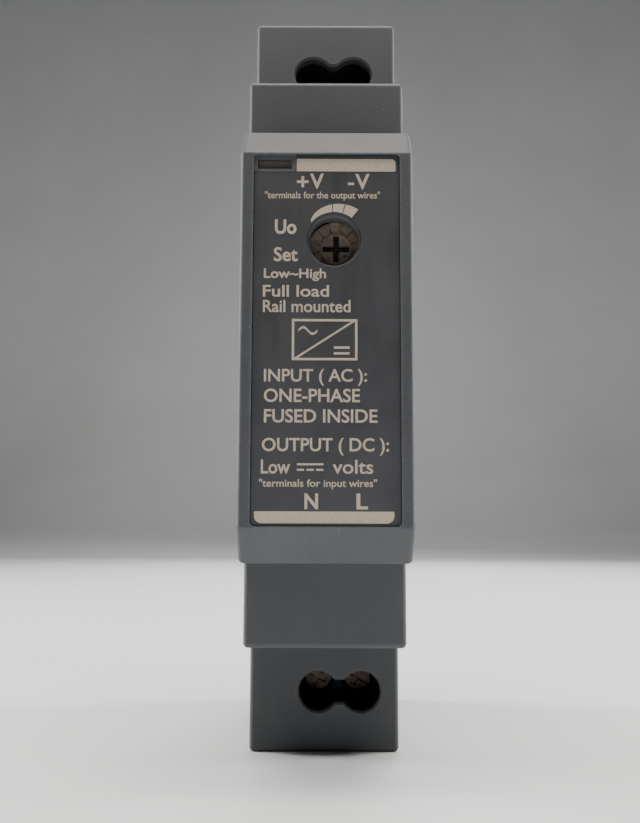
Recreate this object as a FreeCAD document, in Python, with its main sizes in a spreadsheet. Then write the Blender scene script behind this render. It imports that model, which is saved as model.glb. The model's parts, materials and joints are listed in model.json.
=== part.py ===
"""A one-module power supply for a 35 mm DIN rail, as an assembly of separate pieces.

Frame: millimetres, X across the width, Y from front to back, Z up the height. The origin is the centre of
the rail seat, so the rail's front face lies on Y = 0 and the rail's centre line on X. The front faces -Y.
Depths are counted from the case's back plane towards the front: y = seat_depth - depth.
"""

import FreeCAD, Part
import os
import re

import Sketcher
from FreeCAD import Placement, Rotation, Vector

# ---------------------------------------------------------------- driving dimensions, millimetres

DIMENSIONS = {
    # case, one 17.5 mm module with a stepped front
    "case_width": 17.5,
    "case_height": 90.0,
    "case_depth": 54.5,
    "seat_depth": 4.5,
    "terminal_depth": 33.0,
    "middle_depth": 44.0,
    "skirt_depth": 51.2,
    "middle_height": 63.5,
    "nose_height": 45.0,
    "face_height": 38.0,
    "seam_depth": 24.0,
    "seam_gap": 0.12,
    "side_wall": 1.2,
    "end_wall": 1.5,
    "front_wall": 1.5,
    "edge_round": 0.55,
    "cavity_floor_depth": 6.0,
    "lip_height": 1.0,
    "lip_thickness": 0.5,
    "lip_clearance": 0.1,
    "tongue_width": 6.0,
    "tongue_reach": 5.0,
    "tongue_thickness": 1.0,
    "side_tongue_height": 25.0,
    "catch_width": 4.8,
    "catch_room": 0.2,
    # face
    "panel_half_width": 7.4,
    "panel_half_height": 18.8,
    "panel_recess": 0.6,
    "panel_corner": 0.5,
    "label_thickness": 0.35,
    "label_clearance": 0.08,
    "trimmer_hole_radius": 2.5,
    "trimmer_hole_x": 0.74,
    "trimmer_hole_z": 9.88,
    "hole_flare": 0.3,
    "hole_flare_depth": 0.7,
    "window_left": -7.0,
    "window_right": -3.55,
    "window_bottom": 17.3,
    "window_top": 18.35,
    "window_frame": 0.4,
    # rail recess, fixed hook and latch
    "recess_half_height": 17.9,
    "hook_overlap": 2.1,
    "hook_gap": 1.3,
    "seat_half_height": 14.8,
    "seat_relief": 0.3,
    "channel_half_width": 4.2,
    "channel_depth": 3.6,
    "keeper_width": 1.0,
    "keeper_depth": 1.0,
    "latch_half_width": 4.0,
    "latch_front_depth": 3.3,
    "latch_back_depth": 1.2,
    "latch_nose_height": 15.6,
    "latch_bevel": 2.2,
    "latch_foot_height": 40.5,
    "latch_window_half_width": 1.7,
    "latch_window_top": 22.0,
    "latch_window_bottom": 34.1,
    "spring_radius": 0.95,
    "spring_wire": 0.3,
    "spring_turns": 8,
    "boss_height": 1.5,
    # terminals
    "pole_pitch": 5.0,
    "input_centre": 1.8,
    "output_centre": 0.95,
    "pole_height": 38.1,
    "access_radius": 2.3,
    "access_waist": 2.57,
    "access_blend": 0.6,
    "access_bevel": 0.25,
    "entry_radius": 2.0,
    "entry_depth": 13.0,
    "entry_bevel": 0.35,
    "block_half_width": 5.3,
    "block_inner_height": 32.2,
    "block_outer_height": 42.2,
    "block_front_depth": 23.0,
    "block_back_depth": 9.4,
    "clamp_half_width": 2.0,
    "clamp_half_height": 2.1,
    "clamp_back_depth": 10.6,
    "clamp_front_depth": 17.0,
    "clamp_floor": 0.8,
    "clamp_roof": 1.4,
    "clamp_side": 0.5,
    "clamp_travel": 2.5,
    "screw_radius": 1.45,
    "head_slot_width": 0.64,
    "head_slot_depth": 0.9,
    "head_cross_length": 2.3,
    "screw_clearance": 0.06,
    "head_radius": 1.9,
    "head_back_depth": 20.3,
    "head_front_depth": 22.0,
    "bar_half_width": 1.3,
    "bar_front_depth": 15.4,
    "bar_thickness": 0.8,
    # board
    "board_left": -7.2,
    "board_thickness": 1.6,
    "board_edge_gap": 0.5,
    "sheet_thickness": 0.25,
    "sheet_gap": 0.02,
    # trimmer
    "trimmer_x": 1.0,
    "trimmer_z": 9.64,
    "trimmer_half": 3.3,
    "rotor_radius": 2.9,
    "rotor_hub_radius": 1.62,
    "rotor_front_depth": 51.8,
    "rotor_thickness": 1.3,
    "rotor_slot": 0.6,
    "rotor_slot_depth": 1.0,
    "rotor_slot_length": 2.8,
    "rotor_notch_width": 0.1,
    "rotor_notch_depth": 0.15,
    "rotor_shaft_radius": 0.8,
    # larger components
    "bulk_radius": 5.0,
    "bulk_length": 20.0,
    "output_can_radius": 4.0,
    "output_can_length": 13.0,
    "core_length": 16.0,
    "core_depth": 13.0,
    "core_thickness": 4.8,
    "core_leg": 2.0,
    "core_centre_leg": 4.0,
    "fuse_radius": 4.2,
}

doc = FreeCAD.newDocument("RailPowerSupply")
sheet = doc.addObject("Spreadsheet::Sheet", "Dims")
for row, (alias, number) in enumerate(DIMENSIONS.items(), start=1):
    sheet.set(f"A{row}", alias)
    sheet.set(f"B{row}", str(number))
    sheet.setAlias(f"B{row}", alias)
doc.recompute()

WORD = re.compile(r"[a-z_]+")
TURNS = {
    "x": Rotation(Vector(0, 1, 0), 90),
    "y": Rotation(Vector(1, 0, 0), -90),
    "z": Rotation(),
}
PLANES = {"x": "YZ_Plane", "y": "XZ_Plane", "z": "XY_Plane"}
nodes = {}


# ---------------------------------------------------------------- small tools


def bound(expression):
    """The expression with each dimension's name pointing at its cell."""
    return WORD.sub(
        lambda m: f"Dims.{m.group()}" if m.group() in DIMENSIONS else m.group(),
        str(expression),
    )


def value(expression):
    """What an expression of dimensions comes to now."""
    return float(sheet.evalExpression(bound(expression)))


def at(depth):
    """The y of a depth counted from the case's back plane."""
    return f"(seat_depth - ({depth}))"


def between(back, front):
    """The y range between two depths, lowest y first."""
    return at(front), at(back)


def mirrored(side, low, high):
    """The range low to high on the side +1, and its mirror image on the side -1."""
    return (f"({low})", f"({high})") if side > 0 else (f"-({high})", f"-({low})")


def node(label, shape_object):
    """Names a finished piece. The label is the name of its file."""
    shape_object.Label = label
    nodes[label] = shape_object
    return shape_object


def box(name, x, y, z):
    """A block between two expressions on each axis."""
    block = doc.addObject("Part::Box", name)
    for side, axis, (low, high) in (("Length", "x", x), ("Width", "y", y), ("Height", "z", z)):
        block.setExpression(side, bound(f"({high}) - ({low})"))
        block.setExpression(f"Placement.Base.{axis}", bound(low))
    return block


def rod(name, axis, start, radius, length, tip=None):
    """A cylinder, or a cone to the radius tip, from the point start along +x, +y or +z."""
    solid = doc.addObject("Part::Cone" if tip else "Part::Cylinder", name)
    solid.Placement = Placement(Vector(), TURNS[axis])
    solid.setExpression("Radius1" if tip else "Radius", bound(radius))
    if tip:
        solid.setExpression("Radius2", bound(tip))
    solid.setExpression("Height", bound(length))
    for letter, place in zip("xyz", start):
        solid.setExpression(f"Placement.Base.{letter}", bound(place))
    return solid


def joined(name, pieces):
    """The pieces as one solid."""
    fuse = doc.addObject("Part::MultiFuse", name)
    fuse.Shapes = pieces
    fuse.Refine = True
    return fuse


def group(name, pieces):
    """Separate solids that share one node."""
    compound = doc.addObject("Part::Compound", name)
    compound.Links = pieces
    return compound


def turned(name, pieces, x, z, angle):
    """Pieces made around the frame's y axis, turned about it and set at x, z."""
    spun = doc.addObject("Part::Compound", name)
    spun.Links = pieces
    spun.Placement = Placement(Vector(value(x), 0, value(z)), Rotation(Vector(0, 1, 0), angle))
    return spun


def less(name, base, tools):
    """The base without its tools, and a check that they took something away."""
    cut = doc.addObject("Part::Cut", name)
    cut.Base = base
    cut.Tool = tools[0] if len(tools) == 1 else joined(f"{name}_tools", tools)
    cut.Refine = True
    doc.recompute()
    if not cut.Shape.Volume < base.Shape.Volume - 1e-6:
        raise ValueError(f"{name}: the tools cut nothing")
    return cut


def rounded(name, base, radius, wanted, kind="Part::Fillet"):
    """The base with each edge that wanted picks rounded, or bevelled with kind Part::Chamfer."""
    doc.recompute()
    size = value(radius)
    feature = doc.addObject(kind, name)
    feature.Base = base
    feature.Edges = [(i, size, size) for i, e in enumerate(base.Shape.Edges, start=1) if wanted(e)]
    if not feature.Edges:
        raise ValueError(f"{name}: no edge to round")
    return feature


def runs_along(edge, axis):
    """True for a straight edge along x, y or z."""
    if edge.Curve.TypeId != "Part::GeomLine":
        return False
    return abs(abs(getattr(edge.tangentAt(edge.FirstParameter), axis)) - 1) < 1e-6


def middle_of(edge):
    """The point half-way along an edge."""
    return edge.valueAt((edge.FirstParameter + edge.LastParameter) / 2)


def near(number, expression, slack=1e-3):
    """True if a measured number is what the expression comes to."""
    return abs(number - value(expression)) < slack


def outline(sketch, points):
    """A closed outline whose corners are pairs of expressions, each held by its own two dimensions."""
    corners = [Vector(value(h), value(v), 0) for h, v in points]
    count = len(points)
    for i in range(count):
        sketch.addGeometry(Part.LineSegment(corners[i], corners[(i + 1) % count]), False)
    for i in range(count):
        sketch.addConstraint(Sketcher.Constraint("Coincident", i, 2, (i + 1) % count, 1))
    for i, (h, v) in enumerate(points):
        for kind, expression, size in (("DistanceX", h, corners[i].x), ("DistanceY", v, corners[i].y)):
            index = sketch.addConstraint(Sketcher.Constraint(kind, -1, 1, i, 1, size))
            sketch.setExpression(f"Constraints[{index}]", bound(expression))


def prism(name, axis, points, low, high):
    """A body whose outline is pushed along an axis from low to high.

    Across x the points are (y, z), across y (x, z) and across z (x, y).
    """
    body = doc.addObject("PartDesign::Body", name)
    sketch = body.newObject("Sketcher::SketchObject", f"{name}_outline")
    plane = next(f for f in body.Origin.OriginFeatures if f.Role == PLANES[axis])
    sketch.AttachmentSupport = (plane, [""])
    sketch.MapMode = "FlatFace"
    # the plane across y looks towards -y, so its offset counts that way
    start = f"-({high})" if axis == "y" else low
    sketch.setExpression("AttachmentOffset.Base.z", bound(start))
    outline(sketch, points)
    doc.recompute()
    pad = body.newObject("PartDesign::Pad", f"{name}_pad")
    pad.Profile = sketch
    pad.setExpression("Length", bound(f"({high}) - ({low})"))
    return body


def rectangle(h, v):
    """The four corners of a rectangle from two ranges."""
    return [(h[0], v[0]), (h[1], v[0]), (h[1], v[1]), (h[0], v[1])]


# ---------------------------------------------------------------- case

HALF_WIDTH = "case_width/2"
HALF_HEIGHT = "case_height/2"
INNER_WIDTH = "(case_width/2 - side_wall)"
INNER_HEIGHT = "(case_height/2 - end_wall)"
ACROSS = (f"-{HALF_WIDTH}", HALF_WIDTH)
POLE_OFFSETS = {"near": "-pole_pitch/2", "far": "pole_pitch/2"}
ENDS = {"input": (-1, "input_centre"), "output": (1, "output_centre")}
SCREW_REST_TURNS = {
    ("input", "near"): 118,
    ("input", "far"): 27,
    ("output", "near"): 64,
    ("output", "far"): 151,
}
VENT_SHIFT = {"mid": 0.0, "nose": 0.25}


def both_halves(upper):
    """An upper outline followed by its mirror image below z = 0."""
    return upper + [(y, f"-({z})") for y, z in reversed(upper)]


def step_outline(start, terminal, middle, skirt, face, heights):
    """The stepped side view of the case, or of what fits inside it."""
    end, mid, nose, flat = heights
    return both_halves(
        [
            (start, end),
            (terminal, end),
            (terminal, mid),
            (middle, mid),
            (middle, nose),
            (skirt, nose),
            (face, flat),
        ]
    )


def catch_outline(side, wall, reach, x_first):
    """A snap catch, sloped towards the front, standing out of a tongue by reach."""
    root, tip = f"({wall} - 0.1)", f"({wall} + {reach})"
    foot, top = at("seam_depth + 2.6"), at("seam_depth + 4.1")
    crest = at("seam_depth + 3.0")
    corners = [(foot, root), (foot, tip), (crest, tip), (top, root)]
    corners = [(y, f"{side}*{w}") for y, w in corners]
    return [(w, y) for y, w in corners] if x_first else corners


def tongues():
    """Snap tongues of the rear shell: one at each end and two on the right side."""
    whole = between("seam_depth - tongue_reach", "seam_depth + tongue_reach")
    root = between("seam_depth - tongue_reach", "seam_depth - 1")
    across = ("-tongue_width/2", "tongue_width/2")
    pieces = []
    for end, (side, _) in ENDS.items():
        inside = f"{INNER_HEIGHT} - tongue_thickness"
        z = mirrored(side, inside, f"{INNER_HEIGHT} - 0.05")
        z_root = mirrored(side, inside, f"{INNER_HEIGHT} + 0.1")
        pieces.append(box(f"{end}_tongue", across, whole, z))
        pieces.append(box(f"{end}_root", across, root, z_root))
        points = catch_outline(side, INNER_HEIGHT, "end_wall - 0.3", False)
        pieces.append(prism(f"{end}_catch", "x", points, "-catch_width/2", "catch_width/2"))

        z = mirrored(side, "side_tongue_height - tongue_width/2", "side_tongue_height + tongue_width/2")
        x = (f"{INNER_WIDTH} - tongue_thickness", f"{INNER_WIDTH} - 0.05")
        x_root = (x[0], f"{INNER_WIDTH} + 0.1")
        pieces.append(box(f"{end}_side_tongue", x, whole, z))
        pieces.append(box(f"{end}_side_root", x_root, root, z))
        points = catch_outline(1, INNER_WIDTH, "side_wall - 0.3", True)
        z = mirrored(side, "side_tongue_height - catch_width/2", "side_tongue_height + catch_width/2")
        pieces.append(prism(f"{end}_side_catch", "z", points, *z))
    return pieces


def rear_shell():
    """The back half of the case: rail recess, fixed hook, latch channel and wire entries."""
    seam = at("seam_depth - seam_gap/2")
    hook_tip = "recess_half_height - hook_overlap"
    profile = [
        ("seat_depth", f"-{HALF_HEIGHT}"),
        ("seat_depth", "-recess_half_height"),
        ("-seat_relief", "-recess_half_height"),
        ("-seat_relief", "-seat_half_height"),
        ("0", "-seat_half_height"),
        ("0", "seat_half_height"),
        ("-seat_relief", "seat_half_height"),
        ("-seat_relief", "recess_half_height"),
        ("hook_gap", "recess_half_height"),
        ("hook_gap", hook_tip),
        ("hook_gap + 1.6", hook_tip),
        ("seat_depth", "recess_half_height - 0.5"),
        ("seat_depth", HALF_HEIGHT),
        (seam, HALF_HEIGHT),
        (seam, f"-{HALF_HEIGHT}"),
    ]
    block = prism("rear_block", "x", profile, *ACROSS)

    def outer_corner(edge):
        m = middle_of(edge)
        at_end = near(abs(m.z), HALF_HEIGHT)
        at_side = near(abs(m.x), HALF_WIDTH)
        at_back = near(m.y, "seat_depth")
        return (at_end and at_side) or (at_back and (at_end or at_side))

    block = rounded("rear_rounded", block, "edge_round", outer_corner)
    inner_x = (f"-{INNER_WIDTH}", INNER_WIDTH)
    cavity = box(
        "rear_cavity",
        inner_x,
        between("cavity_floor_depth", "seam_depth + 1"),
        (f"-{INNER_HEIGHT}", INNER_HEIGHT),
    )
    core_y = (at("channel_depth"), "seat_depth + 1")
    tools = [cavity]
    tools.append(
        box(
            "latch_channel",
            ("-channel_half_width", "channel_half_width"),
            core_y,
            (f"-{HALF_HEIGHT} - 1", "-recess_half_height + 0.2"),
        )
    )
    core_x = {
        "left": (f"-{INNER_WIDTH}", "-channel_half_width - 1.2"),
        "right": ("channel_half_width + 1.2", INNER_WIDTH),
        "middle": ("-channel_half_width", "channel_half_width"),
    }
    for side, span in core_x.items():
        for end, (sign, _) in ENDS.items():
            if end == "input" and side == "middle":
                continue
            z = mirrored(sign, "recess_half_height + 1.5", INNER_HEIGHT)
            tools.append(box(f"core_{end}_{side}", span, core_y, z))
    for end, (sign, centre) in ENDS.items():
        for pole, offset in POLE_OFFSETS.items():
            x, y = f"{centre} + {offset}", at("entry_depth")
            low, _ = mirrored(sign, f"{INNER_HEIGHT} - 0.5", f"{HALF_HEIGHT} + 0.5")
            tools.append(rod(f"entry_{end}_{pole}", "z", (x, y, low), "entry_radius", "end_wall + 1"))
            mouth_low, _ = mirrored(sign, f"{HALF_HEIGHT} - entry_bevel", HALF_HEIGHT)
            wide, small = "entry_radius + entry_bevel", "entry_radius"
            radii = (small, wide) if sign > 0 else (wide, small)
            start = (x, y, mouth_low)
            tools.append(rod(f"mouth_{end}_{pole}", "z", start, radii[0], "entry_bevel", radii[1]))
    shell = less("rear_hollow", block, tools)

    keepers = [
        box(
            f"keeper_{side}",
            mirrored(side, "channel_half_width - keeper_width", "channel_half_width + 0.1"),
            between("0.01", "keeper_depth"),
            (f"-{HALF_HEIGHT} + 3", "-recess_half_height - 3"),
        )
        for side in (-1, 1)
    ]
    boss = box(
        "spring_boss",
        ("-latch_window_half_width + 0.2", "latch_window_half_width - 0.2"),
        between("latch_back_depth", "channel_depth + 0.1"),
        ("-latch_window_bottom + 0.1", "-latch_window_bottom + 0.1 + boss_height"),
    )
    ribs = [
        box(
            f"board_rib_{end}",
            ("board_left + board_thickness + 0.05", "board_left + board_thickness + 0.85"),
            between("cavity_floor_depth - 0.1", "seam_depth - 1"),
            mirrored(sign, f"{INNER_HEIGHT} - 0.8", f"{INNER_HEIGHT} + 0.1"),
        )
        for end, (sign, _) in ENDS.items()
    ]
    ribs.append(
        box(
            "board_rib_floor",
            ("board_left + board_thickness + 0.05", "board_left + board_thickness + 0.85"),
            between("cavity_floor_depth - 0.1", "cavity_floor_depth + 0.9"),
            ("-12", "12"),
        )
    )
    lip_x = f"({INNER_WIDTH} + lip_thickness)"
    lip_z = f"({INNER_HEIGHT} + lip_thickness)"
    lip_y = between("seam_depth - 0.5", "seam_depth + lip_height")
    lip = less(
        "lip",
        box("lip_outer", (f"-{lip_x}", lip_x), lip_y, (f"-{lip_z}", lip_z)),
        [
            box(
                "lip_inner",
                inner_x,
                between("seam_depth - 2", "seam_depth + 3"),
                (f"-{INNER_HEIGHT}", INNER_HEIGHT),
            )
        ],
    )
    return joined("rear_shell_solid", [shell, *keepers, boss, *ribs, lip, *tongues()])


def access_hole(end):
    """The tool that opens two round screwdriver holes joined by a waist."""
    side, centre = ENDS[end]
    y = between("terminal_depth - front_wall - 1", "terminal_depth + 1")
    z = f"{side}*pole_height"
    length = "front_wall + 2"
    holes = [
        rod(f"access_{end}_{pole}", "y", (f"{centre} + {offset}", y[0], z), "access_radius", length)
        for pole, offset in POLE_OFFSETS.items()
    ]
    waist = box(
        f"waist_{end}",
        (f"{centre} - pole_pitch/2", f"{centre} + pole_pitch/2"),
        y,
        (f"{z} - access_waist/2", f"{z} + access_waist/2"),
    )
    whole = joined(f"access_{end}", [*holes, waist])
    return rounded(
        f"access_{end}_blended",
        whole,
        "access_blend",
        lambda e: runs_along(e, "y") and near(abs(middle_of(e).z - value(z)), "access_waist/2"),
    )


def vents():
    """Slots for air in the end walls of the middle step and of the nose."""
    rows = (
        ("mid", "middle_height/2", ("terminal_depth + 2.5", "middle_depth - 2"), 4, 3.0, 1.6),
        ("nose", "nose_height/2", ("middle_depth + 1.4", "skirt_depth - 0.9"), 3, 4.15, 2.0),
    )
    tools = []
    for end, (side, _) in ENDS.items():
        for step, height, depth, count, pitch, width in rows:
            z = mirrored(side, f"{height} - end_wall - 0.3", f"{height} + 0.3")
            for i in range(count):
                middle = pitch * (i - (count - 1) / 2) + VENT_SHIFT[step]
                x = (middle - width / 2, middle + width / 2)
                tools.append(box(f"vent_{step}_{end}_{i}", x, between(*depth), z))
    return tools


def front_shell():
    """The front half of the case, with its three steps, face recess and holes."""
    start = at("seam_depth + seam_gap/2")
    heights = (HALF_HEIGHT, "middle_height/2", "nose_height/2", "face_height/2")
    levels = (at("terminal_depth"), at("middle_depth"), at("skirt_depth"), at("case_depth"))
    block = prism("front_block", "x", step_outline(start, *levels, heights), *ACROSS)
    inner_levels = (
        at("terminal_depth - front_wall"),
        at("middle_depth - front_wall"),
        at("skirt_depth - 0.65"),
        at("case_depth - panel_recess - front_wall"),
    )
    inner_heights = (
        INNER_HEIGHT,
        "middle_height/2 - end_wall",
        "nose_height/2 - end_wall",
        "face_height/2",
    )
    hollow = prism(
        "front_cavity",
        "x",
        step_outline(at("seam_depth - 1"), *inner_levels, inner_heights),
        f"-{INNER_WIDTH}",
        INNER_WIDTH,
    )

    def outer_edge(edge):
        m = middle_of(edge)
        if near(m.y, start):
            return False
        if near(abs(m.x), HALF_WIDTH):
            return True
        lengthwise = runs_along(edge, "x")
        end = near(abs(m.z), HALF_HEIGHT) and near(m.y, levels[0])
        mid = near(abs(m.z), "middle_height/2") and near(m.y, levels[1])
        skirt = near(abs(m.z), "nose_height/2") and near(m.y, levels[2])
        face = near(abs(m.z), "face_height/2") and near(m.y, levels[3])
        return lengthwise and (end or mid or skirt or face)

    block = rounded("front_rounded", block, "edge_round", outer_edge)
    recess = rounded(
        "panel_recess_tool",
        box(
            "panel_recess_box",
            ("-panel_half_width", "panel_half_width"),
            between("case_depth - panel_recess", "case_depth + 1"),
            ("-panel_half_height", "panel_half_height"),
        ),
        "panel_corner",
        lambda e: runs_along(e, "y"),
    )
    face_y = between("case_depth - 5", "case_depth + 1")
    window = box("window", ("window_left", "window_right"), face_y, ("window_bottom", "window_top"))
    bore = rod(
        "trimmer_bore",
        "y",
        ("trimmer_hole_x", face_y[0], "trimmer_hole_z"),
        "trimmer_hole_radius",
        "6",
    )
    lip_x = f"({INNER_WIDTH} + lip_thickness + lip_clearance)"
    lip_z = f"({INNER_HEIGHT} + lip_thickness + lip_clearance)"
    flare = hole_flare("shell_flare")
    rebate = box(
        "rebate",
        (f"-{lip_x}", lip_x),
        between("seam_depth - 1", "seam_depth + lip_height + lip_clearance"),
        (f"-{lip_z}", lip_z),
    )
    snaps = []
    for end, (side, _) in ENDS.items():
        snap_y = between("seam_depth + 2.4", "seam_depth + 4.3")
        z = mirrored(side, f"{INNER_HEIGHT} - 0.5", f"{HALF_HEIGHT} + 0.5")
        room = "(catch_width/2 + catch_room)"
        snaps.append(box(f"snap_{end}", (f"-{room}", room), snap_y, z))
        x = (f"{INNER_WIDTH} - 0.5", f"{HALF_WIDTH} + 0.5")
        z = mirrored(side, f"side_tongue_height - {room}", f"side_tongue_height + {room}")
        snaps.append(box(f"snap_side_{end}", x, snap_y, z))
    frame = less(
        "window_rim",
        box(
            "window_rim_outer",
            ("-panel_half_width", "window_right + window_frame"),
            between("case_depth - panel_recess - 0.2", "case_depth - panel_recess + label_thickness"),
            ("window_bottom - 0.3", "panel_half_height"),
        ),
        [box("window_rim_hole", ("window_left", "window_right"), face_y, ("window_bottom", "window_top"))],
    )
    shell = less("front_open", block, [hollow, recess, rebate])
    shell = joined("front_with_rim", [shell, frame])
    shell = less(
        "front_cut",
        shell,
        [window, bore, flare, *snaps, *vents(), access_hole("input"), access_hole("output")],
    )

    def access_rim(edge):
        box_ = edge.BoundBox
        at_front = near(box_.YMin, levels[0]) and near(box_.YMax, levels[0])
        reach = abs(box_.Center.z) - value("pole_height")
        return at_front and abs(reach) < 2.5 and abs(box_.Center.x) < 7 and box_.DiagonalLength < 8

    return rounded("front_shell_solid", shell, "access_bevel", access_rim, "Part::Chamfer")


def hole_flare(name):
    """The funnel round the trimmer's hole, from the label's face into the case."""
    return rod(
        name,
        "y",
        ("trimmer_hole_x", at("case_depth - panel_recess + label_thickness"), "trimmer_hole_z"),
        "trimmer_hole_radius + hole_flare",
        "hole_flare_depth",
        "trimmer_hole_radius",
    )


def front_label():
    """The printed plate in the face recess, with the trimmer's hole and its corner cut for the window."""
    y = between("case_depth - panel_recess", "case_depth - panel_recess + label_thickness")
    half_x = "(panel_half_width - label_clearance)"
    half_z = "(panel_half_height - label_clearance)"
    plate = rounded(
        "label_plate",
        box("label_box", (f"-{half_x}", half_x), y, (f"-{half_z}", half_z)),
        "panel_corner - 0.05",
        lambda e: runs_along(e, "y"),
    )
    corner = box(
        "label_corner",
        ("-panel_half_width - 1", "window_right + window_frame + label_clearance"),
        (f"{y[0]} - 1", f"{y[1]} + 1"),
        ("window_bottom - 0.3 - label_clearance", "panel_half_height + 1"),
    )
    hole_at = ("trimmer_hole_x", f"{y[0]} - 1", "trimmer_hole_z")
    hole = rod("label_hole", "y", hole_at, "trimmer_hole_radius", "3")
    return less("label_solid", plate, [corner, hole, hole_flare("label_flare")])


def light_pipe():
    """The clear block that carries the lamp's light to the window."""
    gap = 0.05
    stem = box(
        "pipe_stem",
        (f"window_left + {gap}", f"window_right - {gap}"),
        between("50.2", "case_depth - panel_recess - 0.25"),
        (f"window_bottom + {gap}", f"window_top - {gap}"),
    )
    flange = box(
        "pipe_flange",
        ("window_left - 0.3", "window_right + 0.3"),
        between("51.2", "case_depth - panel_recess - front_wall - 0.02"),
        ("window_bottom - 0.5", "window_top + 0.3"),
    )
    return joined("pipe_solid", [stem, flange])


# ---------------------------------------------------------------- rail latch


def latch():
    """The sliding latch: a plate with a bevelled nose, a window for its spring and a pull slot."""
    y_front, y_back = at("latch_front_depth"), at("latch_back_depth")
    profile = [
        (y_front, "-latch_foot_height"),
        (y_front, "-latch_nose_height"),
        (f"{y_front} + 0.5", "-latch_nose_height"),
        (y_back, "-latch_nose_height - latch_bevel"),
        (y_back, "-latch_foot_height + 4.6"),
        (f"{y_back} + 0.7", "-latch_foot_height + 4.2"),
        (f"{y_back} + 0.7", "-latch_foot_height"),
    ]
    plate = prism("latch_plate", "x", profile, "-latch_half_width", "latch_half_width")
    through = (f"{y_front} - 1", f"{y_back} + 2")
    window = box(
        "latch_window",
        ("-latch_window_half_width", "latch_window_half_width"),
        through,
        ("-latch_window_bottom", "-latch_window_top"),
    )
    slot_z = ("-latch_foot_height + 1.2", "-latch_foot_height + 3.0")
    slot = box("pull_slot", ("-2.1", "2.1"), through, slot_z)
    waists = [
        box(
            f"foot_side_{side}",
            mirrored(side, "latch_half_width - 0.85", "latch_half_width + 1"),
            (y_back, f"{y_back} + 2"),
            ("-latch_foot_height - 1", "-latch_nose_height"),
        )
        for side in (-1, 1)
    ]
    return less("latch_solid", plate, [window, slot, *waists])


def latch_spring():
    """The wire spring between the shell's boss and the top of the latch's window."""
    gap = value("spring_wire/2") + 0.05
    bottom = value("-latch_window_bottom + 0.1 + boss_height") + gap
    top = value("-latch_window_top") - gap
    radius, wire = value("spring_radius"), value("spring_wire")
    turns = value("spring_turns")
    helix = Part.makeHelix((top - bottom) / turns, top - bottom, radius)
    path = Part.Wire(helix.Edges)
    section = Part.Wire(Part.makeCircle(wire / 2, Vector(radius, 0, 0), Vector(0, 1, 0)))
    solid = path.makePipeShell([section], True, True)
    spring = doc.addObject("Part::Feature", "spring_solid")
    spring.Shape = solid
    middle_y = value(at("latch_front_depth/2 + latch_back_depth/2"))
    spring.Placement = Placement(Vector(0, middle_y, bottom), Rotation())
    return spring


# ---------------------------------------------------------------- terminals


def terminal_block(end):
    """The moulded block of one end: a shaft for each screw, a chamber for each clamp and its wire entry."""
    side, centre = ENDS[end]
    body = box(
        f"{end}_block",
        (f"{centre} - block_half_width", f"{centre} + block_half_width"),
        between("block_back_depth", "block_front_depth"),
        mirrored(side, "block_inner_height", "block_outer_height"),
    )
    tools = []
    for pole, offset in POLE_OFFSETS.items():
        x, z = f"{centre} + {offset}", f"{side}*pole_height"
        tag = f"{end}_{pole}"
        room_x, room_z = "(clamp_half_width + 0.1)", "(clamp_half_height + 0.15)"
        tools += [
            box(
                f"{tag}_room",
                (f"{x} - {room_x}", f"{x} + {room_x}"),
                between("clamp_back_depth - 0.2", "clamp_front_depth + clamp_travel + 0.1"),
                (f"{z} - {room_z}", f"{z} + {room_z}"),
            ),
            rod(
                f"{tag}_shaft",
                "y",
                (x, at("block_front_depth + 0.5"), z),
                "head_radius + 0.2",
                "block_front_depth + 0.5 - head_back_depth + 0.05",
            ),
            rod(f"{tag}_neck", "y", (x, at("block_front_depth"), z), "screw_radius + 0.15", "6"),
            rod(
                f"{tag}_wire",
                "z",
                (x, at("entry_depth"), mirrored(side, "pole_height", "block_outer_height + 0.5")[0]),
                "1.75",
                "block_outer_height + 0.5 - pole_height",
            ),
            box(
                f"{tag}_bar_slot",
                (f"{x} - bar_half_width - 0.1", f"{x} + bar_half_width + 0.1"),
                between("bar_front_depth - bar_thickness - 0.1", "bar_front_depth + 0.1"),
                mirrored(side, "block_inner_height - 1", "pole_height"),
            ),
        ]
    return less(f"{end}_block_solid", body, tools)


def terminal_contacts(end):
    """The two fixed bars of one end, each with its leg down to the board."""
    side, centre = ENDS[end]
    pieces = []
    for pole, offset in POLE_OFFSETS.items():
        x = f"{centre} + {offset}"
        inner = "block_inner_height - 1.2" if pole == "near" else "block_inner_height - 2.9"
        y = between("bar_front_depth - bar_thickness", "bar_front_depth")
        bar = box(
            f"{end}_{pole}_bar",
            (f"{x} - bar_half_width", f"{x} + bar_half_width"),
            y,
            mirrored(side, inner, "pole_height + clamp_half_height"),
        )
        leg = box(
            f"{end}_{pole}_leg",
            ("board_left + board_thickness", f"{x} + bar_half_width"),
            y,
            mirrored(side, inner, f"{inner} + 1.1"),
        )
        pieces.append(joined(f"{end}_{pole}_contact", [bar, leg]))
    return group(f"{end}_contacts_group", pieces)


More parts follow.
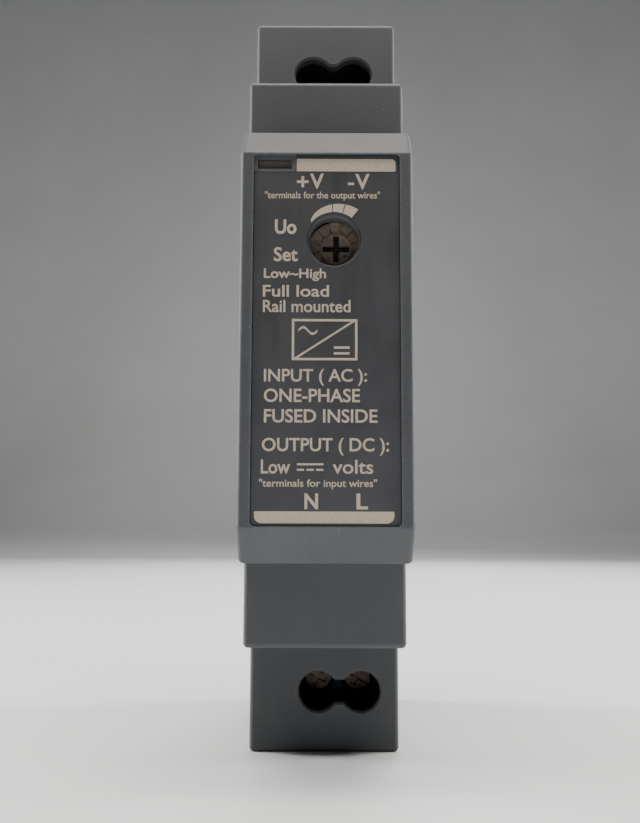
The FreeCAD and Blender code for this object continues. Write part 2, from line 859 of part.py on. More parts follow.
def terminal_screw(end, pole):
    """A clamp screw with a rounded head and a combined slot and cross recess."""
    side, centre = ENDS[end]
    x, z = f"{centre} + {POLE_OFFSETS[pole]}", f"{side}*pole_height"
    tag = f"{end}_{pole}_screw"
    front = at("head_front_depth")
    head = rod(f"{tag}_head", "y", (x, front, z), "head_radius", "head_front_depth - head_back_depth")
    head = rounded(f"{tag}_dome", head, "0.35", lambda e: near(e.BoundBox.YMax, front, 1e-4))
    shank = rod(
        f"{tag}_shank",
        "y",
        (x, at("head_back_depth"), z),
        "screw_radius",
        "head_back_depth - bar_front_depth - 0.03",
    )
    slot_y = (f"{front} - 1", f"{front} + head_slot_depth")
    half = ("-head_slot_width/2", "head_slot_width/2")
    slot = box(f"{tag}_slot", ("-head_radius - 0.3", "head_radius + 0.3"), slot_y, half)
    cross = box(f"{tag}_cross", half, slot_y, ("-head_cross_length/2", "head_cross_length/2"))
    recess = turned(f"{tag}_recess", [slot, cross], x, z, SCREW_REST_TURNS[end, pole])
    return less(f"{tag}_solid", joined(f"{tag}_blank", [head, shank]), [recess])


def terminal_clamp(end, pole):
    """A rising clamp: a frame around the contact bar with a bored roof for its screw."""
    side, centre = ENDS[end]
    x, z = f"{centre} + {POLE_OFFSETS[pole]}", f"{side}*pole_height"
    tag = f"{end}_{pole}_clamp"
    frame_z = (f"{z} - clamp_half_height", f"{z} + clamp_half_height")
    frame = box(
        f"{tag}_frame",
        (f"{x} - clamp_half_width", f"{x} + clamp_half_width"),
        between("clamp_back_depth", "clamp_front_depth"),
        frame_z,
    )
    frame = rounded(f"{tag}_soft", frame, "0.3", lambda e: runs_along(e, "z"))
    opening = box(
        f"{tag}_opening",
        (f"{x} - clamp_half_width + clamp_side", f"{x} + clamp_half_width - clamp_side"),
        between("clamp_back_depth + clamp_floor", "clamp_front_depth - clamp_roof"),
        (f"{z} - clamp_half_height - 1", f"{z} + clamp_half_height + 1"),
    )
    bore = rod(
        f"{tag}_bore",
        "y",
        (x, at("clamp_front_depth + 0.5"), z),
        "screw_radius + screw_clearance",
        "clamp_roof + 1",
    )
    return less(f"{tag}_solid", frame, [opening, bore])


# ---------------------------------------------------------------- board and its components

BOARD_TOP = "(board_left + board_thickness)"
ROTOR_NOTCHES = 13
ROTOR_FIRST_NOTCH = 12.2
ROTOR_DOTS = ((0.80, 0.85), (0.90, -0.80))


def board_outline():
    """The stepped outline of the board inside the case."""
    edge = "board_edge_gap"
    return both_halves(
        [
            (at(f"cavity_floor_depth + {edge}"), f"{INNER_HEIGHT} - {edge}"),
            (at(f"terminal_depth - front_wall - {edge}"), f"{INNER_HEIGHT} - {edge}"),
            (at(f"terminal_depth - front_wall - {edge}"), f"middle_height/2 - end_wall - {edge}"),
            (at(f"middle_depth - front_wall - {edge}"), f"middle_height/2 - end_wall - {edge}"),
            (at(f"middle_depth - front_wall - {edge}"), f"nose_height/2 - end_wall - {edge}"),
            (at("49.2"), f"nose_height/2 - end_wall - {edge}"),
        ]
    )


def block(name, x, depth, z):
    """A box-shaped component body: x above the board, a depth range and a z range."""
    return box(name, (f"{BOARD_TOP} + {x[0]}", f"{BOARD_TOP} + {x[1]}"), between(*depth), z)


def legs(name, spots, height):
    """Thin round leads from the board up to a height, at (depth, z) spots."""
    return [
        rod(f"{name}_leg_{i}", "x", (BOARD_TOP, at(depth), z), "0.3", height)
        for i, (depth, z) in enumerate(spots)
    ]


def can(name, radius, length, depth, z):
    """A radial electrolytic capacitor lying along z: a rounded can with a rolled groove near its base."""
    x = f"{BOARD_TOP} + {radius} + 0.1"
    body = rod(f"{name}_can", "z", (x, at(depth), z), radius, length)
    body = rounded(f"{name}_round", body, "0.6", lambda e: abs(e.BoundBox.ZLength) < 1e-6)
    groove = doc.addObject("Part::Torus", f"{name}_groove")
    groove.setExpression("Radius1", bound(f"{radius} + 0.25"))
    groove.Radius2 = 0.55
    for letter, place in zip("xyz", (x, at(depth), f"{z} + 2")):
        groove.setExpression(f"Placement.Base.{letter}", bound(place))
    body = less(f"{name}_grooved", body, [groove])
    leads = []
    for i, side in enumerate((-1, 1)):
        d = f"{depth} + {side}*1.75"
        wire_z = (f"{z} - 0.9", f"{z} - 0.4")
        run = (f"{radius} + 0.1 - 0.25", f"{radius} + 0.1 + 0.25")
        wire_d = (f"{d} - 0.25", f"{d} + 0.25")
        leads.append(block(f"{name}_stub_{i}", run, wire_d, (wire_z[0], f"{z} + 0.2")))
        leads.append(block(f"{name}_lead_{i}", ("0", run[1]), wire_d, wire_z))
    return joined(f"{name}_solid", [body, *leads])


def disc(name, radius, thickness, depth, z, height):
    """A coated disc on two leads, standing across z."""
    plate = rod(f"{name}_disc", "z", (f"{BOARD_TOP} + {height}", at(depth), z), radius, thickness)
    plate = rounded(f"{name}_soft", plate, "0.9", lambda e: abs(e.BoundBox.ZLength) < 1e-6)
    middle = f"{z} + {thickness}/2"
    spots = [(f"{depth} - 1.8", middle), (f"{depth} + 1.8", middle)]
    return joined(f"{name}_solid", [plate, *legs(name, spots, height)])


def dual_in_line(name, depth, z, pins, height="3.0"):
    """A moulded chip body with a row of bent pins on each side."""
    body = block(f"{name}_body", ("0.5", height), depth, z)
    body = rounded(f"{name}_soft", body, "0.25", lambda e: runs_along(e, "x"))
    pieces = [body]
    pitch = 2.54
    rows = (("a", (f"{depth[0]} - 0.7", depth[0])), ("b", (depth[1], f"{depth[1]} + 0.7")))
    for i in range(pins):
        start = f"({z[0]} + {z[1]})/2 - {pitch * (pins - 1) / 2 - pitch * i} - 0.25"
        for side, (near_d, far_d) in rows:
            span = (start, f"{start} + 0.5")
            shoulder = block(f"{name}_{side}{i}_top", ("1.4", "1.65"), (near_d, far_d), span)
            foot_d = (near_d, f"{near_d} + 0.25") if side == "a" else (f"{far_d} - 0.25", far_d)
            foot = block(f"{name}_{side}{i}_leg", ("0", "1.6"), foot_d, span)
            pieces += [shoulder, foot]
    return joined(f"{name}_solid", pieces)


def transformer():
    """The transformer: two E cores, a bobbin around the centre leg and its taped winding."""
    z_mid, x_low = "-2", f"({BOARD_TOP} + 3.9)"
    x_range = (x_low, f"{x_low} + core_thickness")
    depth_mid = 28
    half = "core_length/2"
    centre = "core_centre_leg/2"
    halves = []
    for sign, tag in ((-1, "back"), (1, "front")):
        face = at(f"{depth_mid} + {sign}*0.02")
        end = at(f"{depth_mid} + {sign}*core_depth/2")
        web = at(f"{depth_mid} + {sign}*(core_depth/2 - core_leg)")
        points = [
            (face, f"{z_mid} - {half}"),
            (end, f"{z_mid} - {half}"),
            (end, f"{z_mid} + {half}"),
            (face, f"{z_mid} + {half}"),
            (face, f"{z_mid} + {half} - core_leg"),
            (web, f"{z_mid} + {half} - core_leg"),
            (web, f"{z_mid} + {centre}"),
            (face, f"{z_mid} + {centre}"),
            (face, f"{z_mid} - {centre}"),
            (web, f"{z_mid} - {centre}"),
            (web, f"{z_mid} - {half} + core_leg"),
            (face, f"{z_mid} - {half} + core_leg"),
        ]
        halves.append(prism(f"core_{tag}", "x", points, *x_range))
    room = "core_depth/2 - core_leg - 0.05"
    window = (f"{depth_mid} - ({room})", f"{depth_mid} + {room}")
    bore_x = (f"{x_range[0]} - 0.08", f"{x_range[1]} + 0.08")
    bore_z = (f"{z_mid} - {centre} - 0.08", f"{z_mid} + {centre} + 0.08")
    wall = 0.6
    tube_x = (f"{bore_x[0]} - {wall}", f"{bore_x[1]} + {wall}")
    tube_z = (f"{bore_z[0]} - {wall}", f"{bore_z[1]} + {wall}")
    flange_x = (f"{BOARD_TOP} + 0.6", f"{x_range[1]} + 3.2")
    flange_z = (f"{z_mid} - {half} + core_leg + 0.1", f"{z_mid} + {half} - core_leg - 0.1")
    flanges = [
        box("flange_back", flange_x, between(window[0], f"{window[0]} + 0.7"), flange_z),
        box("flange_front", flange_x, between(f"{window[1]} - 0.7", window[1]), flange_z),
    ]
    tube = box("bobbin_tube", tube_x, between(*window), tube_z)
    pins = []
    for i in range(4):
        z = f"{z_mid} - 4.2 + {i}*2.8"
        for depth in (f"{window[0]} + 0.35", f"{window[1]} - 0.35"):
            pins.append(rod(f"bobbin_pin_{i}_{len(pins)}", "x", (BOARD_TOP, at(depth), z), "0.3", "1.0"))
    blank = joined("bobbin_blank", [tube, *flanges, *pins])
    bobbin = less("bobbin_solid", blank, [box("bobbin_bore", bore_x, between(10, 40), bore_z)])
    coil_depth = (f"{window[0]} + 0.75", f"{window[1]} - 0.75")
    coil = box(
        "coil_block",
        (f"{flange_x[0]} + 0.5", f"{flange_x[1]} - 0.5"),
        between(*coil_depth),
        (f"{flange_z[0]} + 0.4", f"{flange_z[1]} - 0.4"),
    )
    coil = rounded("coil_soft", coil, "1.8", lambda e: runs_along(e, "y"))
    core_hole = box(
        "coil_bore",
        (f"{tube_x[0]} - 0.05", f"{tube_x[1]} + 0.05"),
        between(10, 40),
        (f"{tube_z[0]} - 0.05", f"{tube_z[1]} + 0.05"),
    )
    node("transformer_core", group("core_pair", halves))
    node("transformer_bobbin", bobbin)
    node("transformer_winding", less("coil_solid", coil, [core_hole]))


def choke():
    """The line choke: a closed ferrite frame parallel to the board, with a coil on each long leg."""
    x_mid, depth_mid, z_mid = f"({BOARD_TOP} + 5.4)", 22.5, "-24"
    frame = box(
        "choke_frame",
        (f"{x_mid} - 2.6", f"{x_mid} + 2.6"),
        between(f"{depth_mid} - 4.2", f"{depth_mid} + 4.2"),
        (f"{z_mid} - 5", f"{z_mid} + 5"),
    )
    frame = rounded("choke_frame_soft", frame, "0.4", lambda e: runs_along(e, "x"))
    hole = box(
        "choke_hole",
        (f"{x_mid} - 4", f"{x_mid} + 4"),
        between(f"{depth_mid} - 1.7", f"{depth_mid} + 1.7"),
        (f"{z_mid} - 3.2", f"{z_mid} + 3.2"),
    )
    node("choke_core", less("choke_core_solid", frame, [hole]))
    coils = []
    for side, tag in ((-1, "back"), (1, "front")):
        depth = f"({depth_mid} + {side}*2.95)"
        coil = box(
            f"choke_coil_{tag}",
            (f"{x_mid} - 4.1", f"{x_mid} + 4.1"),
            between(f"{depth} - 2.7", f"{depth} + 2.7"),
            (f"{z_mid} - 3.1", f"{z_mid} + 3.1"),
        )
        coil = rounded(f"choke_soft_{tag}", coil, "2.2", lambda e: runs_along(e, "z"))
        leads = legs(f"choke_{tag}", [(depth, f"{z_mid} - 2.2"), (depth, f"{z_mid} + 2.2")], "1.6")
        leg_hole = box(
            f"choke_leg_{tag}",
            (f"{x_mid} - 2.65", f"{x_mid} + 2.65"),
            between(f"{depth} - 1.3", f"{depth} + 1.3"),
            (f"{z_mid} - 4", f"{z_mid} + 4"),
        )
        blank = joined(f"choke_blank_{tag}", [coil, *leads])
        coils.append(less(f"choke_winding_{tag}", blank, [leg_hole]))
    node("choke_windings", group("choke_windings_group", coils))


def trimmer():
    """The output trimmer: a square body on the board and a rotor with a cross slot."""
    half, x, z = "trimmer_half", "trimmer_x", "trimmer_z"
    back, front = "46.6", "rotor_front_depth - rotor_thickness - 0.08"
    body = box(
        "trimmer_box",
        (f"{x} - {half}", f"{x} + {half}"),
        between(back, front),
        (f"{z} - {half}", f"{z} + {half}"),
    )
    body = rounded("trimmer_soft", body, "0.5", lambda e: runs_along(e, "y"))
    reach = f"{x} - {half} - {BOARD_TOP} + 0.2"
    pins = [
        rod(f"trimmer_pin_{i}", "x", (BOARD_TOP, at("48.3"), f"{z} + {dz}"), "0.3", reach)
        for i, dz in enumerate((-2.5, 0, 2.5))
    ]
    bore = rod(
        "trimmer_shaft_bore",
        "y",
        (x, at(f"{front} + 0.5"), z),
        "rotor_shaft_radius + 0.05",
        "3.2",
    )
    node("trimmer_body", less("trimmer_body_solid", joined("trimmer_blank", [body, *pins]), [bore]))

    face = at("rotor_front_depth")
    disc_y = at("rotor_front_depth - 0.25")
    hub = rod("rotor_hub", "y", (x, face, z), "rotor_hub_radius", "rotor_thickness - 0.1")
    wheel = rod("rotor_wheel", "y", (x, disc_y, z), "rotor_radius", "rotor_thickness - 0.25")
    shaft = rod("rotor_shaft", "y", (x, at("rotor_front_depth - 1.1"), z), "rotor_shaft_radius", "2.4")
    tools = [
        box(
            f"rotor_slot_{i}",
            (f"{x} - {sx}", f"{x} + {sx}"),
            (f"{face} - 1", f"{face} + rotor_slot_depth"),
            (f"{z} - {sz}", f"{z} + {sz}"),
        )
        for i, (sx, sz) in enumerate(
            (("rotor_slot_length/2", "rotor_slot/2"), ("rotor_slot/2", "rotor_slot_length/2"))
        )
    ]
    for i in range(ROTOR_NOTCHES):
        angle = ROTOR_FIRST_NOTCH + 360 / ROTOR_NOTCHES * i
        notch = box(
            f"rotor_notch_{i}",
            ("-rotor_notch_width/2", "rotor_notch_width/2"),
            (f"{disc_y} - 1", f"{disc_y} + rotor_notch_depth"),
            ("rotor_hub_radius + 0.12", "rotor_radius + 0.3"),
        )
        tools.append(turned(f"rotor_notch_turned_{i}", [notch], x, z, angle))
    for i, (dx, dz) in enumerate(ROTOR_DOTS):
        start = (f"{x} + {dx}", f"{face} - 1", f"{z} + {dz}")
        tools.append(rod(f"rotor_dot_{i}", "y", start, "0.2", "1.3"))
    node("trimmer_rotor", less("rotor_solid", joined("rotor_blank", [hub, wheel, shaft]), tools))


def components():
    """Everything that stands on the board, apart from the terminals."""
    transformer()
    choke()
    trimmer()
    node("bulk_capacitor", can("bulk", "bulk_radius", "bulk_length", "12.6", "-15.5"))
    cans = [
        can(f"output_{tag}", "output_can_radius", "output_can_length", depth, "15.5")
        for tag, depth in (("back", "12"), ("front", "20.6"))
    ]
    node("output_capacitors", group("output_cans", cans))

    fuse = rod("fuse_drum", "x", (f"{BOARD_TOP} + 0.6", at("11.4"), "-24.5"), "fuse_radius", "7.4")
    fuse = rounded("fuse_soft", fuse, "0.5", lambda e: abs(e.BoundBox.XLength) < 1e-6)
    fuse_legs = legs("fuse", [("11.4 - 2.54", "-24.5"), ("11.4 + 2.54", "-24.5")], "1.0")
    node("input_fuse", joined("fuse_solid", [fuse, *fuse_legs]))

    film = block("film_box", ("0.4", "10.6"), ("29.6", "35.6"), ("-29.2", "-16.2"))
    film = rounded("film_soft", film, "0.5", lambda e: True)
    film_legs = legs("film", [("32.6", "-27.7"), ("32.6", "-17.7")], "1.0")
    node("filter_capacitor", joined("film_solid", [film, *film_legs]))

    node("inrush_thermistor", disc("thermistor", "2.9", "3.4", "39.0", "-27.5", "5.0"))
    node("safety_capacitor", disc("safety", "3.8", "3.6", "13.6", "8.6", "5.2"))

    node("bridge_rectifier", dual_in_line("bridge", ("38.6", "44.6"), ("-19.5", "-11.5"), 2, "2.9"))
    node("switching_controller", dual_in_line("controller", ("38.2", "44.4"), ("-9", "1"), 4, "3.6"))
    node("optocoupler", dual_in_line("optocoupler", ("20.6", "26.8"), ("8.6", "13.2"), 2, "3.6"))

    diode = block("diode_body", ("3.4", "12.0"), ("26.0", "30.4"), ("16.6", "26.6"))
    diode = rounded("diode_soft", diode, "0.4", lambda e: runs_along(e, "x"))
    diode_legs = [
        block(f"diode_leg_{i}", ("0", "3.6"), ("27.6", "28.1"), (f"18.6 + {i}*2.54", f"19.4 + {i}*2.54"))
        for i in range(3)
    ]
    node("output_diode", joined("diode_solid", [diode, *diode_legs]))
    plate = block("sink_plate", ("0.3", "12.4"), ("30.45", "31.95"), ("14.6", "28.6"))
    fin = block("sink_fin", ("0.3", "12.4"), ("31.9", "34.6"), ("27.1", "28.6"))
    node("diode_heat_sink", joined("sink_solid", [plate, fin]))

    drum_at = (f"{BOARD_TOP} + 0.4", at("38.0"), "22.6")
    drum = joined(
        "drum_blank",
        [
            rod("drum_foot", "x", drum_at, "3.6", "1.2"),
            rod("drum_post", "x", drum_at, "1.6", "8.6"),
            rod("drum_cap", "x", (f"{BOARD_TOP} + 7.8", drum_at[1], drum_at[2]), "3.6", "1.2"),
        ],
    )
    node("output_inductor_core", drum)
    turns_at = (f"{BOARD_TOP} + 1.62", drum_at[1], drum_at[2])
    winding = less(
        "drum_winding_solid",
        rod("drum_winding", "x", turns_at, "3.2", "6.16"),
        [rod("drum_winding_bore", "x", (BOARD_TOP, drum_at[1], drum_at[2]), "1.62", "10")],
    )
    node("output_inductor_winding", winding)

    regulator = rod("regulator_body", "x", (f"{BOARD_TOP} + 3.0", at("37.0"), "10.8"), "2.2", "4.6")
    flat = box("regulator_flat", ("-10", "10"), between("38.2", "42"), ("8", "14"))
    regulator_legs = legs("regulator", [("36.8", f"10.8 + {dz}") for dz in (-1.27, 0, 1.27)], "3.4")
    trimmed = less("regulator_trimmed", regulator, [flat])
    node("shunt_regulator", joined("regulator_solid", [trimmed, *regulator_legs]))

    chips = []
    pitch = 2.2
    spots = [(46.4, pitch * i - 8) for i in range(6)] + [(42.8, pitch * i + 7.4) for i in range(3)]
    for i, (depth, z) in enumerate(spots):
        chips.append(block(f"chip_{i}", ("0", "0.55"), (depth - 1.0, depth + 1.0), (z - 0.6, z + 0.6)))
    node("chip_resistors", group("chips", chips))

    lamp = block("lamp_body", ("0", "1.1"), ("47.6", "49.0"), ("16.9", "18.7"))
    node("status_lamp", lamp)


# ---------------------------------------------------------------- the whole part


def build():
    """Makes every node of the part."""
    node("rear_shell", rear_shell())
    node("front_shell", front_shell())
    node("front_label", front_label())
    node("light_pipe", light_pipe())
    node("rail_latch", latch())
    node("latch_spring", latch_spring())
    pole_names = {("input", "near"): "neutral", ("input", "far"): "live"}
    pole_names.update({("output", "near"): "positive", ("output", "far"): "negative"})
    for end in ENDS:
        node(f"{end}_terminal_block", terminal_block(end))
        node(f"{end}_contacts", terminal_contacts(end))
        for pole in POLE_OFFSETS:
            name = pole_names[end, pole]
            node(f"{name}_screw", terminal_screw(end, pole))
            node(f"{name}_clamp", terminal_clamp(end, pole))
    node("main_board", prism("board", "x", board_outline(), "board_left", BOARD_TOP))
    node(
        "insulating_sheet",
        prism(
            "insulator",
            "x",
            board_outline(),
            "board_left - sheet_thickness - sheet_gap",
            "board_left - sheet_gap",
        ),
    )
    components()


def check_and_write():
    """Stops on a failed feature or a bad shape, then writes one STEP file for each node."""
    doc.recompute()
    for thing in doc.Objects:
        if {"Invalid", "Error"} & set(thing.State):
            raise ValueError(f"{thing.Label} failed: {thing.State}")
    for label, thing in nodes.items():
        if thing.Shape.isNull() or not thing.Shape.isValid() or not thing.Shape.Solids:
            raise ValueError(f"{label} has no valid solid")
    os.makedirs("parts", exist_ok=True)
    for old in os.listdir("parts"):
        os.remove(os.path.join("parts", old))
    for label, thing in nodes.items():
        thing.Shape.exportStep(f"parts/{label}.step")
    print(f"{len(nodes)} nodes written")


build()
check_and_write()
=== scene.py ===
"""A one-module power supply for a DIN rail: finishes, printing and fine detail around its CAD frame."""

import json
import math

import bmesh
import bpy
from mathutils import Matrix, Vector


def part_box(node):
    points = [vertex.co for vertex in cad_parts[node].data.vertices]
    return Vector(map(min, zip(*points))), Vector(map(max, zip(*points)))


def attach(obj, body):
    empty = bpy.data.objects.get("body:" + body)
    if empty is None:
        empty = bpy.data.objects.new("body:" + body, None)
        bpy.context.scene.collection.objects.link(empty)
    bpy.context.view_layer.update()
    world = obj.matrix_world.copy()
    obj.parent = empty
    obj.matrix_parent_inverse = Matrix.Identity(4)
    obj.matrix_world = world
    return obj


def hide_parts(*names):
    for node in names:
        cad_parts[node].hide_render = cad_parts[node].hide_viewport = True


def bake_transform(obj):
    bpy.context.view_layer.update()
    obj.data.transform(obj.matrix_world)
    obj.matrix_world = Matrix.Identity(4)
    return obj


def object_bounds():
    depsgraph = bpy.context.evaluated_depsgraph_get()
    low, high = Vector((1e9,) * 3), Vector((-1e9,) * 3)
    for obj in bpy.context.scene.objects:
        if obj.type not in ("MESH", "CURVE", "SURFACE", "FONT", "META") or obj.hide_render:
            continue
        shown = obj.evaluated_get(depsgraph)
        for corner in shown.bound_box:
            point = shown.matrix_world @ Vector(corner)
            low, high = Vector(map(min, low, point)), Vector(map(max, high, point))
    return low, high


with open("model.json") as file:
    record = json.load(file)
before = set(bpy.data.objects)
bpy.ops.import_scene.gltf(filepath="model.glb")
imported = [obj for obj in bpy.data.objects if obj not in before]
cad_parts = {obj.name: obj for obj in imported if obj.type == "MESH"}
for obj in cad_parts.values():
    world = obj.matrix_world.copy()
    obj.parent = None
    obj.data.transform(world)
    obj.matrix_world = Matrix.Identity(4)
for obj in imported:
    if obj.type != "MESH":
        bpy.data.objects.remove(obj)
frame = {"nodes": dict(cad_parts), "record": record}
NODES = frame["nodes"]
CAD_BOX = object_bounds()
MM = 0.001
SCENE = bpy.context.scene

# ---------------------------------------------------------------- node trees


class Tree:
    """A material's node tree with short calls for the nodes used here."""

    def __init__(self, name):
        self.material = bpy.data.materials.new(name)
        self.material.use_nodes = True
        self.nodes = self.material.node_tree.nodes
        self.links = self.material.node_tree.links
        self.shader = self.nodes["Principled BSDF"]
        self.place = self.nodes.new("ShaderNodeTexCoord").outputs["Object"]

    def link(self, value, socket):
        """Plugs in a node's output, or sets a plain number or colour."""
        if isinstance(value, bpy.types.NodeSocket):
            self.links.new(value, socket)
        else:
            socket.default_value = value

    def math(self, operation, a, b=0.0, clamp=False):
        """One arithmetic node."""
        node = self.nodes.new("ShaderNodeMath")
        node.operation = operation
        node.use_clamp = clamp
        self.link(a, node.inputs[0])
        self.link(b, node.inputs[1])
        return node.outputs[0]

    def ramp(self, value, low, high, out_low=0.0, out_high=1.0):
        """Maps low..high onto out_low..out_high, held at both ends."""
        node = self.nodes.new("ShaderNodeMapRange")
        self.link(value, node.inputs["Value"])
        for socket, number in zip(node.inputs[1:5], (low, high, out_low, out_high)):
            socket.default_value = number
        return node.outputs["Result"]

    def mix(self, factor, a, b, blend="MIX"):
        """Mixes two colours."""
        node = self.nodes.new("ShaderNodeMix")
        node.data_type = "RGBA"
        node.blend_type = blend
        self.link(factor, node.inputs["Factor"])
        self.link(a, node.inputs["A"])
        self.link(b, node.inputs["B"])
        return node.outputs["Result"]

    def stretched(self, scale):
        """The object's coordinates, scaled on each axis."""
        node = self.nodes.new("ShaderNodeMapping")
        self.links.new(self.place, node.inputs["Vector"])
        node.inputs["Scale"].default_value = scale
        return node.outputs["Vector"]

    def noise(self, size_mm, detail=2.0, rough=0.5, where=None):
        """Noise whose lumps are about size_mm across."""
        node = self.nodes.new("ShaderNodeTexNoise")
        self.links.new(where or self.place, node.inputs["Vector"])
        node.inputs["Scale"].default_value = 1 / (size_mm * MM)
        node.inputs["Detail"].default_value = detail
        node.inputs["Roughness"].default_value = rough
        return node.outputs["Fac"]

    def cells(self, size_mm, output="Distance"):
        """Voronoi cells about size_mm across."""
        node = self.nodes.new("ShaderNodeTexVoronoi")
        self.links.new(self.place, node.inputs["Vector"])
        node.inputs["Scale"].default_value = 1 / (size_mm * MM)
        return node.outputs[output]

    def edges(self, radius_mm, low=0.02, high=0.25):
        """1 along sharp outer and inner edges, 0 on flat faces."""
        bevel = self.nodes.new("ShaderNodeBevel")
        bevel.samples = 4
        bevel.inputs["Radius"].default_value = radius_mm * MM
        here = self.nodes.new("ShaderNodeNewGeometry")
        dot = self.nodes.new("ShaderNodeVectorMath")
        dot.operation = "DOT_PRODUCT"
        self.links.new(bevel.outputs["Normal"], dot.inputs[0])
        self.links.new(here.outputs["Normal"], dot.inputs[1])
        return self.ramp(self.math("SUBTRACT", 1.0, dot.outputs["Value"]), low, high)

    def bump(self, height, depth_mm, strength=1.0, over=None):
        """Adds relief of about depth_mm."""
        node = self.nodes.new("ShaderNodeBump")
        node.inputs["Distance"].default_value = depth_mm * MM
        node.inputs["Strength"].default_value = strength
        self.links.new(height, node.inputs["Height"])
        if over:
            self.links.new(over, node.inputs["Normal"])
        return node.outputs["Normal"]

    def finish(self, colour, roughness, normal=None, **fixed):
        """Connects the shader. Fixed values go on the shader's own sockets."""
        self.link(colour, self.shader.inputs["Base Color"])
        self.link(roughness, self.shader.inputs["Roughness"])
        if normal:
            self.links.new(normal, self.shader.inputs["Normal"])
        for name, number in fixed.items():
            self.shader.inputs[name.replace("_", " ")].default_value = number
        return self.material


def rgba(colour, factor=1.0):
    """A colour with its alpha, made lighter or darker by a factor."""
    return tuple(min(1.0, c * factor) for c in colour[:3]) + (1.0,)


# ---------------------------------------------------------------- materials

DUST = (0.42, 0.42, 0.42, 1.0)
LINT = (0.35, 0.35, 0.36, 1.0)


def moulded(name, colour, grain_mm=0.16, depth_mm=0.012, rough=(0.50, 0.66), highlight_and_wear=0.5, dust=0.0):
    """Spark-eroded moulded plastic: fine grain, slow colour drift, edges made paler as painted highlight and
    wear, and a little dust.
    """
    t = Tree(name)
    grain = t.noise(grain_mm, 3.0, 0.62)
    drift = t.noise(17, 3.0, 0.55)
    patch = t.noise(4.5, 2.0, 0.5)
    base = t.mix(t.ramp(drift, 0.35, 0.65), rgba(colour, 0.90), rgba(colour, 1.10))
    base = t.mix(t.ramp(patch, 0.3, 0.7, 0.0, 0.35), base, rgba(colour, 1.12))
    base = t.mix(t.ramp(grain, 0.54, 0.68, 0.0, 0.35), base, rgba(colour, 2.0))
    base = t.mix(t.ramp(grain, 0.46, 0.32, 0.0, 0.35), base, rgba(colour, 0.42))
    # painted highlight, partly wear: pale colour along the rounded edges, broken up by noise
    edge_highlight_and_wear = t.edges(0.45, 0.008, 0.10)
    edge_patchiness = t.ramp(t.noise(0.8, 4.0, 0.75), 0.36, 0.64, 0.35, 1.0)
    patchy_highlight_and_wear = t.math("MULTIPLY", edge_highlight_and_wear, edge_patchiness)
    base = t.mix(t.math("MULTIPLY", patchy_highlight_and_wear, highlight_and_wear), base, rgba(colour, 3.0))
    if dust:
        speck = t.ramp(t.cells(1.5), 0.06, 0.03)
        keep = t.ramp(t.noise(3.0, 1.0), 0.60, 0.66)
        base = t.mix(t.math("MULTIPLY", t.math("MULTIPLY", speck, keep), dust), base, DUST)
    roughness = t.ramp(t.math("ADD", grain, t.math("MULTIPLY", patch, 0.5)), 0.55, 0.95, rough[0], rough[1])
    fine = t.bump(grain, depth_mm, 0.8)
    normal = t.bump(drift, 0.05, 0.15, fine)
    return t.finish(base, roughness, normal, IOR=1.49)


def rotor_with_painted_slot_shade(name, colour, face_y):
    """Pale moulded plastic handled by screwdrivers, with painted shade in the slot below its front face."""
    t = Tree(name)
    grain = t.noise(0.22, 3.0, 0.62)
    cloud = t.noise(1.1, 3.0, 0.6)
    base = t.mix(t.ramp(cloud, 0.32, 0.66), rgba(colour, 0.62), rgba(colour, 1.25))
    base = t.mix(t.ramp(grain, 0.54, 0.70, 0.0, 0.5), base, rgba(colour, 1.6))
    split = t.nodes.new("ShaderNodeSeparateXYZ")
    t.links.new(t.place, split.inputs[0])
    # painted shade: the rotor turns near black more than 0.3 mm behind its front face, in the slot
    slot_shade = t.ramp(split.outputs["Y"], face_y + 0.30 * MM, face_y + 0.62 * MM)
    base = t.mix(slot_shade, base, rgba(colour, 0.09))
    return t.finish(base, t.ramp(grain, 0.3, 0.7, 0.45, 0.65), t.bump(grain, 0.02, 0.7), IOR=1.5)


def satin_label(name, colour):
    """Dark printed plate: smoother than the case, with faint lint, rub marks and painted highlights along
    its edges.
    """
    t = Tree(name)
    cloud = t.noise(7, 4.0, 0.6)
    fine = t.noise(0.10, 2.0, 0.5)
    rub = t.noise(0.9, 3.0, 0.6, t.stretched((1.0, 1.0, 0.12)))
    base = t.mix(t.ramp(cloud, 0.32, 0.68), rgba(colour, 0.86), rgba(colour, 1.14))
    base = t.mix(t.ramp(fine, 0.55, 0.72, 0.0, 0.4), base, rgba(colour, 1.6))
    speck = t.ramp(t.cells(1.1), 0.055, 0.03)
    keep = t.ramp(t.noise(2.2, 1.0), 0.60, 0.66)
    base = t.mix(t.math("MULTIPLY", t.math("MULTIPLY", speck, keep), 0.55), base, LINT)
    # painted highlight: the plate's edges, the rim of the trimmer hole among them, made paler
    base = t.mix(t.math("MULTIPLY", t.edges(0.12), 0.6), base, rgba(colour, 2.6))
    marks = t.math("ADD", t.math("MULTIPLY", rub, 0.6), t.math("MULTIPLY", cloud, 0.4))
    roughness = t.ramp(marks, 0.35, 0.65, 0.40, 0.56)
    return t.finish(base, roughness, t.bump(fine, 0.004, 0.7), IOR=1.5)


def ink(name, colour):
    """Screen-printed ink: slightly uneven cover with thinner streaks."""
    t = Tree(name)
    cover = t.noise(0.35, 3.0, 0.6)
    streak = t.noise(0.28, 2.0, 0.5, t.stretched((1.0, 1.0, 0.18)))
    base = t.mix(t.ramp(cover, 0.34, 0.62), rgba(colour, 0.92), rgba(colour, 1.05))
    thin = (0.72 * colour[0], 0.66 * colour[1], 0.62 * colour[2])
    base = t.mix(t.ramp(streak, 0.40, 0.62, 0.12, 0.0), base, rgba(thin))
    return t.finish(base, t.ramp(cover, 0.3, 0.7, 0.50, 0.66), t.bump(cover, 0.003, 0.8), IOR=1.48)


